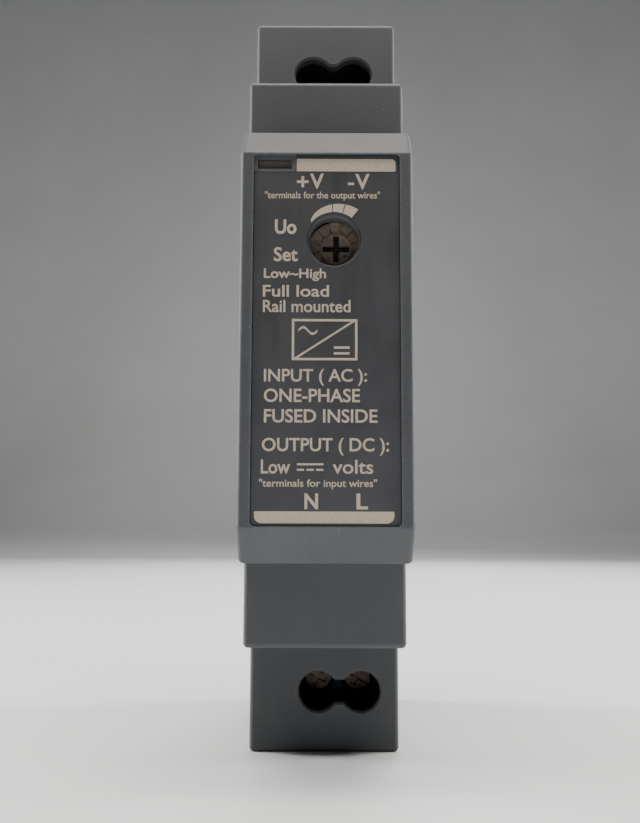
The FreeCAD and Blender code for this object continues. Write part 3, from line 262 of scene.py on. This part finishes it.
def metal(name, colour, rough=(0.25, 0.45), grain=(1.0, 1.0, 1.0), stain=None, metallic=1.0):
    """Plated or bare metal with drawn lines along one axis and faint staining."""
    t = Tree(name)
    lines = t.noise(0.08, 3.0, 0.6, t.stretched(grain))
    cloud = t.noise(1.3, 3.0, 0.6)
    base = t.mix(t.ramp(cloud, 0.3, 0.7), rgba(stain or colour, 0.85), rgba(colour, 1.08))
    # painted highlight: paler colour along the edges
    base = t.mix(t.math("MULTIPLY", t.edges(0.1), 0.7), base, rgba(colour, 1.5))
    return t.finish(base, t.ramp(lines, 0.3, 0.7, *rough), t.bump(lines, 0.004, 0.7), Metallic=metallic)


def coated(name, colour, rough=(0.18, 0.32), lump_mm=1.2, depth_mm=0.03, coat=0.5):
    """A dipped, sleeved or cast coating: glossy with soft unevenness."""
    t = Tree(name)
    lump = t.noise(lump_mm, 2.0, 0.5)
    fine = t.noise(0.2, 2.0, 0.5)
    base = t.mix(t.ramp(lump, 0.3, 0.7), rgba(colour, 0.82), rgba(colour, 1.15))
    # painted highlight: paler colour along the edges
    base = t.mix(t.math("MULTIPLY", t.edges(0.2), 0.4), base, rgba(colour, 1.8))
    return t.finish(base, t.ramp(fine, 0.3, 0.7, *rough), t.bump(lump, depth_mm, 0.5), Coat_Weight=coat)


CASE = (0.058, 0.061, 0.066)
LABEL = (0.045, 0.046, 0.050)
CREAM = (0.50, 0.42, 0.33)

FINISHES = {
    "case": moulded("case_plastic", CASE, dust=0.5),
    "label": satin_label("label_satin", LABEL),
    "latch": moulded("latch_plastic", (0.046, 0.049, 0.055), grain_mm=0.2),
    "light_pipe": coated(
        "smoked_lens", (0.130, 0.108, 0.093), rough=(0.30, 0.42), lump_mm=2.0, depth_mm=0.004
    ),
    "terminal_block": moulded("block_plastic", (0.018, 0.020, 0.020), grain_mm=0.12, highlight_and_wear=0.3),
    "trimmer_body": moulded("trimmer_plastic", (0.022, 0.020, 0.020), grain_mm=0.12, highlight_and_wear=0.3),
    "trimmer_rotor": rotor_with_painted_slot_shade("rotor_plastic", (0.20, 0.155, 0.12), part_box("trimmer_rotor")[0].y),
    "bobbin": moulded("bobbin_phenolic", (0.022, 0.022, 0.022), grain_mm=0.12),
    "chip_black": moulded("epoxy_black", (0.020, 0.020, 0.021), grain_mm=0.10, highlight_and_wear=0.3),
    "fuse": moulded("fuse_brown", (0.14, 0.045, 0.025), grain_mm=0.15),
    "film_box": moulded("film_yellow", (0.62, 0.46, 0.10), grain_mm=0.12, highlight_and_wear=0.2),
    "board": moulded("solder_mask", (0.022, 0.105, 0.040), grain_mm=0.3, depth_mm=0.006, rough=(0.28, 0.42)),
    "insulation": coated("insulating_film", (0.62, 0.60, 0.52), lump_mm=6, depth_mm=0.02),
    "tape": coated("winding_tape", (0.70, 0.50, 0.06), lump_mm=0.8, depth_mm=0.02),
    "can_sleeve": coated("shrink_sleeve", (0.020, 0.022, 0.028), lump_mm=1.5, depth_mm=0.02),
    "disc_green": coated("disc_green", (0.040, 0.105, 0.075)),
    "disc_blue": coated("disc_blue", (0.035, 0.14, 0.40)),
    "lamp": coated("lamp_resin", (0.20, 0.60, 0.28), lump_mm=0.5, depth_mm=0.01),
    "enamel_wire": metal(
        "enamelled_copper", (0.62, 0.22, 0.08), rough=(0.22, 0.36), stain=(0.45, 0.13, 0.05)
    ),
    "ferrite": moulded(
        "ferrite", (0.040, 0.040, 0.043), grain_mm=0.2, depth_mm=0.02, rough=(0.40, 0.60), highlight_and_wear=0.4
    ),
    "spring": metal("spring_wire", (0.62, 0.62, 0.62), rough=(0.22, 0.34)),
    "clamp": metal("zinc_plate", (0.66, 0.66, 0.63), rough=(0.28, 0.46), grain=(1.0, 0.15, 1.0)),
    "contact": metal("tinned_brass", (0.70, 0.67, 0.60), rough=(0.28, 0.44)),
    "screw": metal(
        "screw_plate", (0.24, 0.19, 0.145), rough=(0.34, 0.55), stain=(0.15, 0.11, 0.08), metallic=0.9
    ),
    "sink": metal("heat_sink", (0.74, 0.74, 0.74), rough=(0.30, 0.46), grain=(0.1, 1.0, 1.0)),
}
INK = ink("cream_ink", CREAM)

for entry in frame["record"]["subparts"]:
    node = NODES[entry["node"]]
    for holder in node.material_slots:
        holder.material = FINISHES[entry["material_slot"]]

# ---------------------------------------------------------------- print on the face plate

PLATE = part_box("front_label")
PRINT_Y = PLATE[0].y
INK_BACK = PRINT_Y + 0.004 * MM
INK_FRONT = PRINT_Y - 0.018 * MM


def new_mesh_object(name, mesh, material, body="case"):
    """A piece from a mesh, with its finish and the body that carries it, if one alone does."""
    piece = bpy.data.objects.new(name, mesh)
    SCENE.collection.objects.link(piece)
    piece.data.materials.clear()
    piece.data.materials.append(material)
    if body:
        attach(piece, body)
    return piece


def mesh_of_curve(curve):
    """The mesh that a curve or a text makes."""
    holder = bpy.data.objects.new("curve", curve)
    SCENE.collection.objects.link(holder)
    bpy.context.view_layer.update()
    mesh = bpy.data.meshes.new_from_object(holder.evaluated_get(bpy.context.evaluated_depsgraph_get()))
    bpy.data.objects.remove(holder)
    return mesh


def flat_shape(bm, outline_mm):
    """Adds a thin raised shape on the face plate from an outline in millimetres of X and Z."""
    back, front = (
        [bm.verts.new((x * MM, y, z * MM)) for x, z in outline_mm] for y in (INK_BACK, INK_FRONT)
    )
    count = len(outline_mm)
    bm.faces.new(back)
    bm.faces.new(front[::-1])
    for i in range(count):
        j = (i + 1) % count
        bm.faces.new((back[i], front[i], front[j], back[j]))


CORNER_STEPS = 6


def rounded_rectangle(x0, x1, z0, z1, corners):
    """Corners are the radii at lower left, lower right, upper right and upper left."""
    centres = (
        (x0 + corners[0], z0 + corners[0], 180),
        (x1 - corners[1], z0 + corners[1], 270),
        (x1 - corners[2], z1 - corners[2], 0),
        (x0 + corners[3], z1 - corners[3], 90),
    )
    points = []
    for (cx, cz, start), radius in zip(centres, corners):
        for step in range(CORNER_STEPS + 1):
            a = math.radians(start + 90 / CORNER_STEPS * step)
            points.append((cx + radius * math.cos(a), cz + radius * math.sin(a)))
    return points


def bar(bm, x0, x1, z0, z1, corner=0.02):
    """Adds a printed bar with small corners."""
    flat_shape(bm, rounded_rectangle(x0, x1, z0, z1, (corner,) * 4))


def text_mesh(words, x0, x1, z0, z1, weight=0.0):
    """Words as a thin raised mesh that fills x0..x1 and z0..z1."""
    curve = bpy.data.curves.new("words", "FONT")
    curve.body = words
    curve.resolution_u = 4
    curve.offset = weight
    curve.extrude = 0.5
    mesh = mesh_of_curve(curve)
    xs = [v.co.x for v in mesh.vertices]
    ys = [v.co.y for v in mesh.vertices]
    for v in mesh.vertices:
        u = (v.co.x - min(xs)) / (max(xs) - min(xs))
        w = (v.co.y - min(ys)) / (max(ys) - min(ys))
        depth = INK_BACK if v.co.z < 0 else INK_FRONT
        v.co = Vector(((x0 + u * (x1 - x0)) * MM, depth, (z0 + w * (z1 - z0)) * MM))
    return mesh


# words, left, right, bottom and top in millimetres, and how bold
LINES = (
    ("+", -3.02, -1.84, 15.36, 16.52, 0.018),
    ("V", -1.70, -0.28, 15.20, 16.80, 0.022),
    ("-", 2.15, 2.78, 15.60, 15.86, 0.02),
    ("V", 2.90, 4.35, 15.15, 16.78, 0.022),
    ('"terminals for the output wires"', -6.26, 5.41, 13.96, 14.92, 0.012),
    ("Uo", -5.22, -3.04, 10.46, 11.98, 0.028),
    ("Set", -5.30, -2.90, 7.62, 9.10, 0.020),
    ("Low~High", -6.28, -0.05, 5.60, 6.89, 0.020),
    ("Full load", -6.36, 0.26, 3.99, 5.19, 0.014),
    ("Rail mounted", -6.34, 2.41, 2.41, 3.66, 0.014),
    ("INPUT ( AC ):", -6.17, 4.04, -4.98, -3.30, 0.015),
    ("ONE-PHASE", -6.15, 3.34, -6.64, -5.28, 0.015),
    ("FUSED INSIDE", -6.12, 5.06, -8.67, -7.32, 0.015),
    ("OUTPUT ( DC ):", -6.29, 6.18, -11.90, -10.16, 0.015),
    ("Low", -6.37, -3.50, -13.69, -12.31, 0.015),
    ("volts", 0.66, 4.62, -13.69, -12.31, 0.010),
    ('"terminals for input wires"', -6.54, 4.99, -15.20, -14.20, 0.012),
    ("N", -2.09, -0.76, -17.14, -15.60, 0.028),
    ("L", 2.98, 4.10, -17.14, -15.60, 0.028),
)


def direct_current_mark(bm, left, right, bottom, top):
    """A bar over three dashes."""
    thick = 0.2
    bar(bm, left, right, top - thick, top)
    dash = (right - left) / 3.7
    for i in range(3):
        start = left + 1.35 * dash * i
        bar(bm, start, start + dash, bottom, bottom + thick)


def converter_mark(bm, left, right, bottom, top, line=0.24):
    """The sign of a converter: a framed box and its diagonal, with a wave above and two bars below."""
    bar(bm, left, right, top - line, top)
    bar(bm, left, right, bottom, bottom + line)
    bar(bm, left, left + line, bottom + line, top - line)
    bar(bm, right - line, right, bottom + line, top - line)
    low, high = (left + line, bottom + line), (right - line, top - line)
    slant = 1.5 * line
    flat_shape(bm, [low, (low[0] + slant, low[1]), high, (high[0] - slant, high[1])])
    width, height = right - left, top - bottom
    for share in (0.14, 0.28):
        z = bottom + share * height
        bar(bm, left + 0.64 * width, left + 0.88 * width, z, z + line)
    steps, tall = 24, 0.08 * height
    wave = []
    for i in range(steps + 1):
        x = left + (0.10 + 0.29 * i / steps) * width
        wave.append((x, bottom + 0.72 * height + tall * math.sin(2 * math.pi * i / steps)))
    half = line / 2
    flat_shape(bm, [(x, z - half) for x, z in wave] + [(x, z + half) for x, z in reversed(wave)])


SCALE_CENTRE = (0.74, 9.88)
SCALE_START, SCALE_END = -51.0, 38.0
SCALE_TICKS = (-2.4, 17.4)
TICK_HALF = 0.8
SCALE_REACH = 2.90
SCALE_THIN, SCALE_GAIN = 0.10, 0.6


def crescent(start, end, steps=14):
    """Part of the scale over the trimmer, between two clock angles. It widens clockwise."""
    inner, outer = [], []
    for i in range(steps + 1):
        clock = start + (end - start) * i / steps
        share = (clock - SCALE_START) / (SCALE_END - SCALE_START)
        right, up = math.sin(math.radians(clock)), math.cos(math.radians(clock))
        reach = SCALE_REACH
        inner.append((SCALE_CENTRE[0] + reach * right, SCALE_CENTRE[1] + reach * up))
        reach += SCALE_THIN + share**SCALE_GAIN
        outer.append((SCALE_CENTRE[0] + reach * right, SCALE_CENTRE[1] + reach * up))
    return inner + outer[::-1]


# left, right, bottom and top in millimetres, and the bars' corner radii
OUTPUT_BAR = (-3.05, 7.0, 17.04, 18.36, (0.05, 0.12, 0.42, 0.05))
INPUT_BAR = (-6.99, 6.67, -18.50, -17.35, (0.72, 0.72, 0.08, 0.08))
CURRENT_PLACE = (-2.85, -0.25, -13.40, -12.66)
CONVERTER_PLACE = (-3.43, 3.10, -2.44, 1.73)


def face_print():
    """Everything printed on the face plate, as one thin mesh."""
    bm = bmesh.new()
    for words, *place, weight in LINES:
        sheet = text_mesh(words, *place, weight)
        bm.from_mesh(sheet)
        bpy.data.meshes.remove(sheet)
    flat_shape(bm, rounded_rectangle(*OUTPUT_BAR))
    flat_shape(bm, rounded_rectangle(*INPUT_BAR))
    direct_current_mark(bm, *CURRENT_PLACE)
    converter_mark(bm, *CONVERTER_PLACE)
    stops = [SCALE_START, *SCALE_TICKS, SCALE_END]
    for i, (low, high) in enumerate(zip(stops, stops[1:])):
        first = low if i == 0 else low + TICK_HALF
        last = high if i == len(SCALE_TICKS) else high - TICK_HALF
        flat_shape(bm, crescent(first, last))
    bmesh.ops.recalc_face_normals(bm, faces=bm.faces)
    mesh = bpy.data.meshes.new("face_print")
    bm.to_mesh(mesh)
    bm.free()
    new_mesh_object("face_print", mesh, INK)


face_print()

# ---------------------------------------------------------------- wound wire

STEPS_PER_TURN = 28
CHOKE_WIRE = 0.62 * MM
CHOKE_LEG_HALF = 1.25 * MM
CHOKE_LAYERS = (0.6, 1.5)
CHOKE_SQUARE = 0.45
CHOKE_END = 1.6 * MM
INDUCTOR_WIRE = 0.55 * MM
INDUCTOR_LAYERS = (0.5, 1.4)
SPRING_WIRE = 0.30 * MM
SPRING_TURNS = 8
CLOSED_TURNS = 0.75


def layer(centre, axis, length, half_a, half_b, wire, square=1.0):
    """One layer of wire around X or Z, as points. A square of 1 is round, less is nearer a rectangle."""
    count = round(length / wire)
    points = []
    for step in range(count * STEPS_PER_TURN + 1):
        turn = 2 * math.pi * step / STEPS_PER_TURN
        c, s = math.cos(turn), math.sin(turn)
        a = half_a * math.copysign(abs(c) ** square, c)
        b = half_b * math.copysign(abs(s) ** square, s)
        along = length * (step / (count * STEPS_PER_TURN) - 0.5)
        offset = (along, a, b) if axis == "x" else (a, b, along)
        points.append(Vector(centre) + Vector(offset))
    return points


def wire_piece(name, replaced, runs, wire, finish="enamel_wire", body="case"):
    """Round wire along lists of points, in place of a plain winding or spring."""
    curve = bpy.data.curves.new(name, "CURVE")
    curve.dimensions = "3D"
    curve.bevel_depth = wire / 2
    curve.bevel_resolution = 2
    curve.use_fill_caps = True
    for points in runs:
        spline = curve.splines.new("POLY")
        spline.points.add(len(points) - 1)
        for point, place in zip(spline.points, points):
            point.co = (*place, 1)
    mesh = mesh_of_curve(curve)
    mesh.name = name
    for polygon in mesh.polygons:
        polygon.use_smooth = True
    piece = new_mesh_object(name, mesh, FINISHES[finish], body)
    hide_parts(replaced)
    return piece


def choke_wire():
    """Two layers of wire on each long leg of the choke's core, with their ends down to the board."""
    core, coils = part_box("choke_core"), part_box("choke_windings")
    wire = CHOKE_WIRE
    middle = (core[0] + core[1]) / 2
    length = coils[1].z - coils[0].z - wire
    board = coils[0].x
    half_x = (core[1].x - core[0].x) / 2
    runs = []
    for y in (core[0].y + CHOKE_LEG_HALF, core[1].y - CHOKE_LEG_HALF):
        centre = (middle.x, y, middle.z)
        for level in CHOKE_LAYERS:
            out = level * wire
            runs.append(layer(centre, "z", length, half_x + out, CHOKE_LEG_HALF + out, wire, CHOKE_SQUARE))
        for end in (-1, 1):
            z = middle.z + end * (length / 2 - wire)
            runs.append([Vector((board, y, z)), Vector((board + CHOKE_END, y, z))])
    wire_piece("choke_wire", "choke_windings", runs, wire)


def inductor_wire():
    """Two layers of wire on the post of the drum core."""
    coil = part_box("output_inductor_winding")
    wire = INDUCTOR_WIRE
    centre = (coil[0] + coil[1]) / 2
    radius = (coil[1].y - coil[0].y) / 2
    length = coil[1].x - coil[0].x - wire
    halves = [radius - level * wire for level in INDUCTOR_LAYERS]
    runs = [layer(centre, "x", length, half, half, wire) for half in halves]
    wire_piece("inductor_wire", "output_inductor_winding", runs, wire)


def spring_wire():
    """The latch's spring, with closed ends; it is carried by no body."""
    low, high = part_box("latch_spring")
    middle = (low + high) / 2
    radius = (high.x - low.x - SPRING_WIRE) / 2
    bottom, top = low.z + SPRING_WIRE / 2, high.z - SPRING_WIRE / 2
    closed = CLOSED_TURNS * SPRING_WIRE
    pitch = (top - bottom - 2 * closed) / SPRING_TURNS
    turns = SPRING_TURNS + 2 * CLOSED_TURNS
    points = []
    for step in range(round(turns * STEPS_PER_TURN) + 1):
        turn = step / STEPS_PER_TURN
        lower = min(turn, CLOSED_TURNS)
        upper = max(turn - CLOSED_TURNS - SPRING_TURNS, 0)
        z = bottom + (lower + upper) * SPRING_WIRE + (turn - lower - upper) * pitch
        angle = 2 * math.pi * turn
        x, y = middle.x + radius * math.cos(angle), middle.y + radius * math.sin(angle)
        points.append(Vector((x, y, z)))
    piece = wire_piece("spring_wire", "latch_spring", [points], SPRING_WIRE, "spring", None)
    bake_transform(piece)


choke_wire()
inductor_wire()
spring_wire()

# ---------------------------------------------------------------- floor, lights and camera

BOTTOM_Z = CAD_BOX[0].z
FLOOR_HALF_WIDTH = 1.4
SWEEP = ((-0.9, 0.0), (0.55, 0.0), (0.68, 0.02), (0.77, 0.08), (0.81, 0.18), (0.82, 0.9))


def backdrop():
    """A pale floor that curves up behind the part."""
    bm = bmesh.new()
    rows = []
    for y, z in SWEEP:
        rows.append([bm.verts.new((x, y, BOTTOM_Z + z)) for x in (-FLOOR_HALF_WIDTH, FLOOR_HALF_WIDTH)])
    for (a, b), (c, d) in zip(rows, rows[1:]):
        bm.faces.new((a, b, d, c))
    mesh = bpy.data.meshes.new("studio_floor")
    bm.to_mesh(mesh)
    bm.free()
    for polygon in mesh.polygons:
        polygon.use_smooth = True
    floor = bpy.data.objects.new("studio_floor", mesh)
    SCENE.collection.objects.link(floor)
    t = Tree("floor_paper")
    tone = t.mix(t.ramp(t.noise(60, 3.0), 0.3, 0.7), (0.60, 0.60, 0.60, 1), (0.63, 0.63, 0.63, 1))
    mesh.materials.append(t.finish(tone, t.ramp(t.noise(0.5), 0.3, 0.7, 0.70, 0.80)))


def area_light(name, place_mm, aim_mm, size_mm, watts, colour):
    """A soft rectangular light that the camera doesn't see."""
    lamp = bpy.data.lights.new(name, "AREA")
    lamp.shape = "RECTANGLE"
    lamp.size, lamp.size_y = (s * MM for s in size_mm)
    lamp.energy = watts
    lamp.color = colour
    holder = bpy.data.objects.new(name, lamp)
    SCENE.collection.objects.link(holder)
    holder.visible_camera = False
    holder.location = Vector(place_mm) * MM
    toward = (Vector(aim_mm) - Vector(place_mm)).normalized()
    holder.rotation_mode = "QUATERNION"
    holder.rotation_quaternion = toward.to_track_quat("-Z", "Y")


# name, place, aim and size in millimetres, watts and colour
LIGHTS = (
    ("key_above", (0, -90, 430), (0, -30, 0), (420, 260), 2.55, (1.0, 0.955, 0.885)),
    ("rim_left", (-420, 86, 125), (0, -25, 0), (120, 320), 3.4, (0.97, 0.985, 1.0)),
    ("rim_right", (420, 86, 125), (0, -25, 0), (120, 320), 2.7, (0.97, 0.985, 1.0)),
    ("under_front", (0, -88, -44), (0, -88, 0), (170, 50), 0.015, (0.72, 0.87, 1.0)),
    ("top_near", (0, -84, 190), (0, -40, 40), (220, 50), 0.33, (1.0, 0.955, 0.88)),
    ("back_light", (60, 420, 260), (0, 0, 0), (300, 300), 2.2, (0.96, 0.98, 1.0)),
)
WORLD_STRENGTH = 0.085
WORLD_COLOUR = (0.9, 0.93, 1.0, 1.0)

backdrop()
for entry in LIGHTS:
    area_light(*entry)

world = bpy.data.worlds.new("studio")
world.use_nodes = True
world.node_tree.nodes["Background"].inputs["Color"].default_value = WORLD_COLOUR
world.node_tree.nodes["Background"].inputs["Strength"].default_value = WORLD_STRENGTH
SCENE.world = world

CAMERA_MM = (-0.654, -139.972, -18.407)
TILT = (-0.1197, 0.0034, 0.001)
LENS_MM = 40.35
SENSOR_MM = 36.0
CLIP_MM = 5


def main_camera():
    """A camera close to the front, a little below the middle."""
    turn = [Matrix.Rotation(angle, 3, axis) for angle, axis in zip(TILT, "XYZ")]
    right, forward, up = turn[0] @ turn[1] @ turn[2]
    data = bpy.data.cameras.new("camera")
    data.sensor_width = SENSOR_MM
    data.lens = LENS_MM
    data.clip_start = CLIP_MM * MM
    camera = bpy.data.objects.new("camera", data)
    SCENE.collection.objects.link(camera)
    facing = Matrix((right, up, -forward)).transposed().to_4x4()
    camera.matrix_world = Matrix.Translation(Vector(CAMERA_MM) * MM) @ facing
    SCENE.camera = camera


main_camera()
